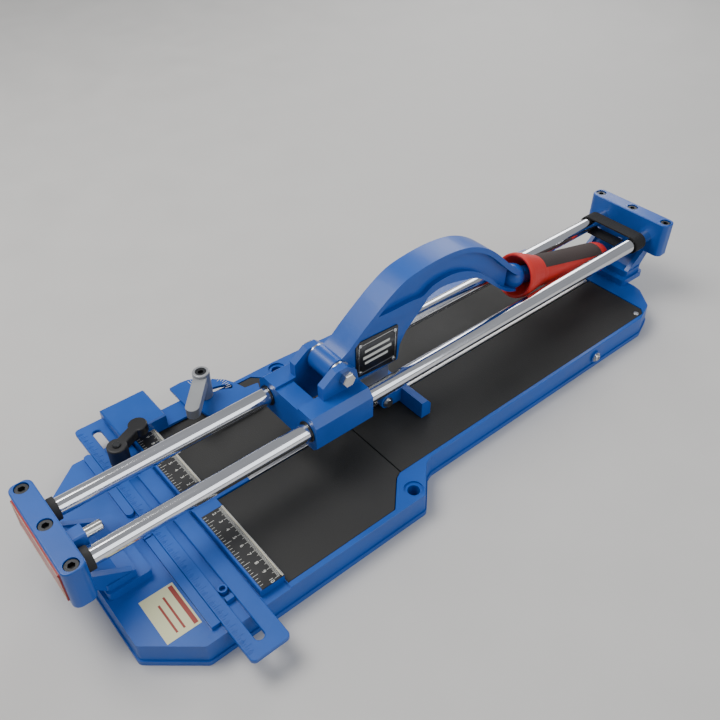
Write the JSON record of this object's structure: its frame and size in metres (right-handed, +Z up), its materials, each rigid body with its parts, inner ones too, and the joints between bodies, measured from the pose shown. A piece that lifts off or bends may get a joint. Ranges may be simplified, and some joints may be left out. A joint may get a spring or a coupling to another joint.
{
  "type": "tile cutter",
  "caption": "Manual rail tile cutter: ribbed bed with rubber mats, two guide rails, sliding carriage with lift handle, scoring wheel and breaker foot, ruler fence and angle gauge.",
  "frame": {"origin": "midway between the two bench-lug holes, on the underside of the bed", "axes": "+X along the rails from the ruler fence towards the grip end, +Y to the angle-gauge side, +Z up"},
  "size_m": [0.6967, 0.286, 0.1661],
  "materials": {
    "blue_paint": "semi-gloss paint",
    "black_rubber": "matt",
    "steel": "brushed",
    "chrome": "polished",
    "dark_steel": "blackened",
    "ruler_print": "printed scale",
    "red_plate": "gloss",
    "black_fabric": "woven",
    "black_plastic": "moulded",
    "grey_metal": "cast",
    "red_grip": "soft grip",
    "dark_grip": "textured",
    "black_plate": "enamelled",
    "bush_metal": "turned"
  },
  "bodies": {
    "bed": {"base_bed": "blue_paint", "fence": "blue_paint", "ruler_near": "ruler_print", "ruler_far": "ruler_print", "mat_front_near": "black_rubber", "mat_front_far": "black_rubber", "mat_rear_near": "black_rubber", "mat_rear_far": "black_rubber", "breaking_strip": "steel", "mat_screws": "steel", "side_screw": "steel", "side_washer": "steel", "pedestal_front": "blue_paint", "pedestal_rear": "blue_paint", "rail_cap_front": "blue_paint", "rail_cap_rear": "blue_paint", "cap_screws_front": "dark_steel", "cap_screws_rear": "dark_steel", "rail_near": "chrome", "rail_far": "chrome", "rail_bumpers": "black_rubber", "stop_bracket": "blue_paint", "stop_pin": "steel", "end_plate": "red_plate", "strap": "black_fabric", "guide_stud_near": "blue_paint", "guide_stud_far": "dark_steel", "knob_washer": "steel"},
    "bar": {"measuring_bar": "blue_paint"},
    "knob": {"bar_clamp_knob": "black_plastic"},
    "stop": {"stop_block": "blue_paint", "gauge_bracket": "blue_paint", "gauge_screw": "dark_steel"},
    "gauge": {"angle_gauge": "blue_paint"},
    "lever": {"gauge_lever": "grey_metal"},
    "carriage": {"carriage_block": "blue_paint", "rail_bush_near": "bush_metal", "rail_bush_far": "bush_metal", "pivot_bolt": "steel", "pivot_nut": "steel", "pivot_washers": "steel"},
    "handle": {"handle_casting": "blue_paint", "grip_sleeve": "red_grip", "grip_insert": "dark_grip", "nameplate": "black_plate", "nameplate_rivets": "steel", "wheel_holder": "steel", "wheel_axle": "steel", "breaker_pivot": "steel"},
    "wheel": {"scoring_wheel": "steel"},
    "breaker": {"breaker_foot": "blue_paint"}
  },
  "joints": [
    {"name": "carriage_slide", "type": "slide", "parent": "bed", "child": "carriage", "axis": [1, 0, 0], "range_m": [-0.17, 0]},
    {"name": "handle_lift", "type": "hinge", "parent": "carriage", "child": "handle", "pos_m": [-0.011, 0, 0.103], "axis": [0, -1, 0], "range_deg": [0, 11]},
    {"name": "breaker_swing", "type": "hinge", "parent": "handle", "child": "breaker", "pos_m": [0.044, 0, 0.036], "axis": [0, -1, 0], "range_deg": [0, 10]},
    {"name": "wheel_spin", "type": "hinge", "parent": "handle", "child": "wheel", "pos_m": [0.02, 0, 0.037], "axis": [0, 1, 0], "continuous": true},
    {"name": "bar_slide", "type": "slide", "parent": "bed", "child": "bar", "axis": [0, 1, 0], "range_m": [-0.035, 0.035]},
    {"name": "knob_turn", "type": "hinge", "parent": "bed", "child": "knob", "pos_m": [-0.1755, 0.08, 0.04], "axis": [0, 0, 1], "range_deg": [-60, 60]},
    {"name": "stop_slide", "type": "slide", "parent": "bed", "child": "stop", "axis": [0, -1, 0], "range_m": [0, 0.05]},
    {"name": "gauge_turn", "type": "hinge", "parent": "stop", "child": "gauge", "pos_m": [-0.077, 0.106, 0.028], "axis": [0, 0, 1], "range_deg": [-45, 45]},
    {"name": "lever_turn", "type": "hinge", "parent": "stop", "child": "lever", "pos_m": [-0.077, 0.106, 0.045], "axis": [0, 0, 1], "range_deg": [-60, 60]}
  ]
}
